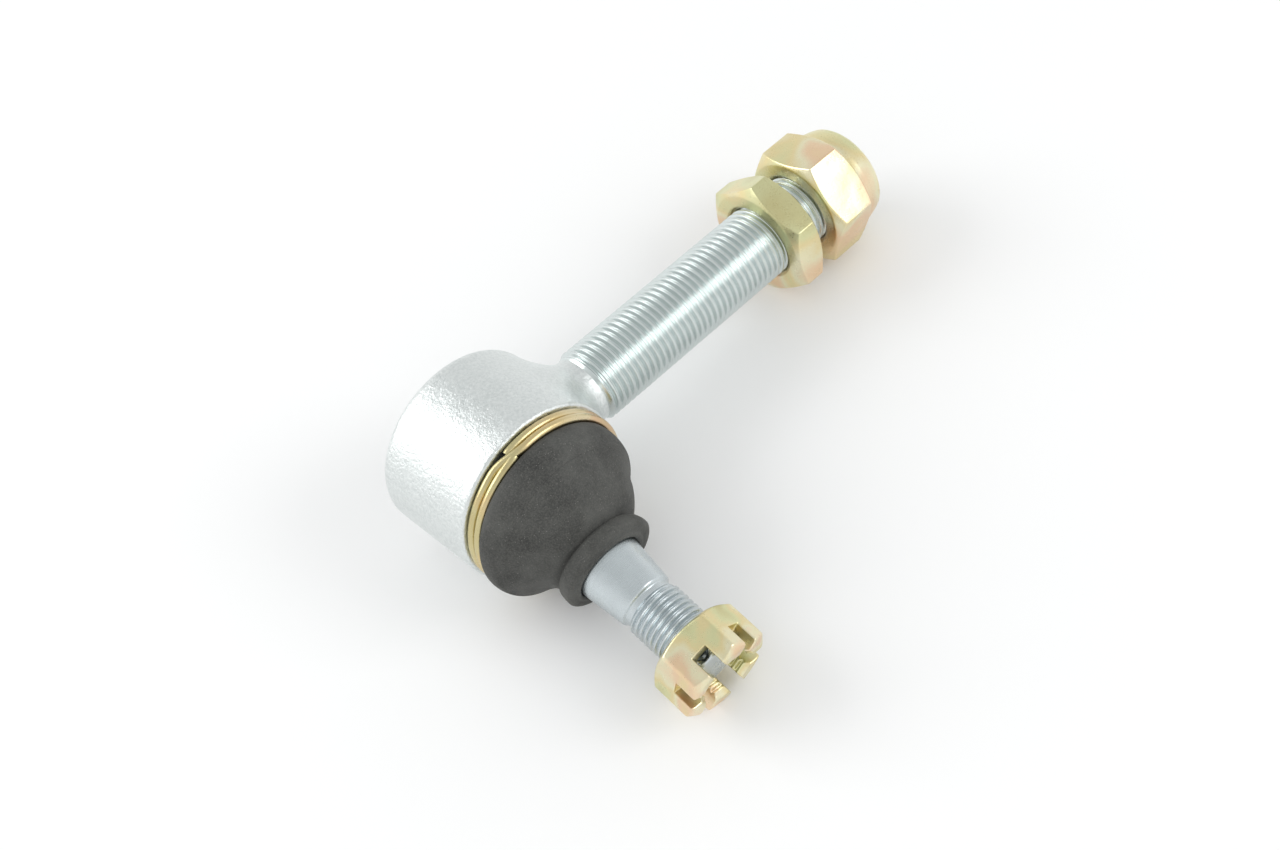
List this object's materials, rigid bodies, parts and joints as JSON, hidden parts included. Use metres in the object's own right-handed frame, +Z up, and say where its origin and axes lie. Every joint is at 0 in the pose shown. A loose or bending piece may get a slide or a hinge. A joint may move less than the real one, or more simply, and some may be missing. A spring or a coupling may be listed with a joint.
{
  "type": "tie rod end",
  "caption": "Angled ball joint with a threaded shank, rubber boot, wire clamp, castle nut, jam nut and nylon insert lock nut.",
  "frame": {"origin": "centre of the ball, where the shank axis meets the cup axis", "axes": "+X out along the shank, -Y out of the cup on the stud side, +Z up as the part lies on a table"},
  "size_m": [0.1213, 0.0772, 0.0421],
  "materials": {
    "bright_zinc": "clear zinc plated forging, speckled on the cup, bright on the thread",
    "stud_zinc": "clear zinc plated, turned",
    "spring_steel": "plain spring steel",
    "bearing_plastic": "natural acetal",
    "boot_rubber": "black rubber with pale dust",
    "yellow_zinc_wire": "yellow passivated zinc on steel wire",
    "yellow_zinc": "yellow passivated zinc on steel, iridescent",
    "nylon": "white nylon"
  },
  "bodies": {
    "housing": {"housing": "bright_zinc", "closing_plate": "bright_zinc", "preload_spring": "spring_steel", "upper_seat": "bearing_plastic", "lower_seat": "bearing_plastic", "boot_collar": "boot_rubber", "boot_ring": "yellow_zinc_wire"},
    "boot_skirt": {"boot_skirt": "boot_rubber"},
    "boot_lip": {"boot_lip": "boot_rubber"},
    "ball_stud": {"ball_stud": "stud_zinc"},
    "castle_nut": {"castle_nut": "yellow_zinc"},
    "jam_nut": {"jam_nut": "yellow_zinc"},
    "lock_insert": {"lock_insert": "nylon"},
    "lock_nut": {"lock_nut": "yellow_zinc"}
  },
  "joints": [
    {"name": "stud_tilt", "type": "hinge", "parent": "housing", "child": "boot_skirt", "pos_m": [0, 0, 0], "axis": [0.9863, 0, -0.165], "range_deg": [-28.2, 3.8], "deforming": ["boot_skirt"]},
    {"name": "stud_swing", "type": "hinge", "parent": "boot_skirt", "child": "boot_lip", "pos_m": [0, 0, 0], "axis": [0.1613, -0.2113, 0.964], "range_deg": [-16, 16]},
    {"name": "stud_spin", "type": "hinge", "parent": "boot_lip", "child": "ball_stud", "pos_m": [0, 0, 0], "axis": [-0.0349, -0.9774, -0.2084], "continuous": true},
    {"name": "castle_nut_travel", "type": "slide", "parent": "ball_stud", "child": "castle_nut", "axis": [-0.0349, -0.9774, -0.2084], "range_m": [-0.0085, 0.0025]},
    {"name": "jam_nut_travel", "type": "slide", "parent": "housing", "child": "jam_nut", "axis": [1, 0, 0], "range_m": [-0.045, 0.002]},
    {"name": "lock_nut_travel", "type": "slide", "parent": "housing", "child": "lock_insert", "axis": [1, 0, 0], "range_m": [-0.0021, 0.0061]},
    {"name": "lock_nut_turn", "type": "hinge", "parent": "lock_insert", "child": "lock_nut", "pos_m": [0.09, 0, 0], "axis": [1, 0, 0], "range_deg": [-480, 1440]}
  ],
  "couplings": [
    {"joint": "lock_nut_travel", "follows": "lock_nut_turn", "m_per_rad": 0.00023873}
  ]
}
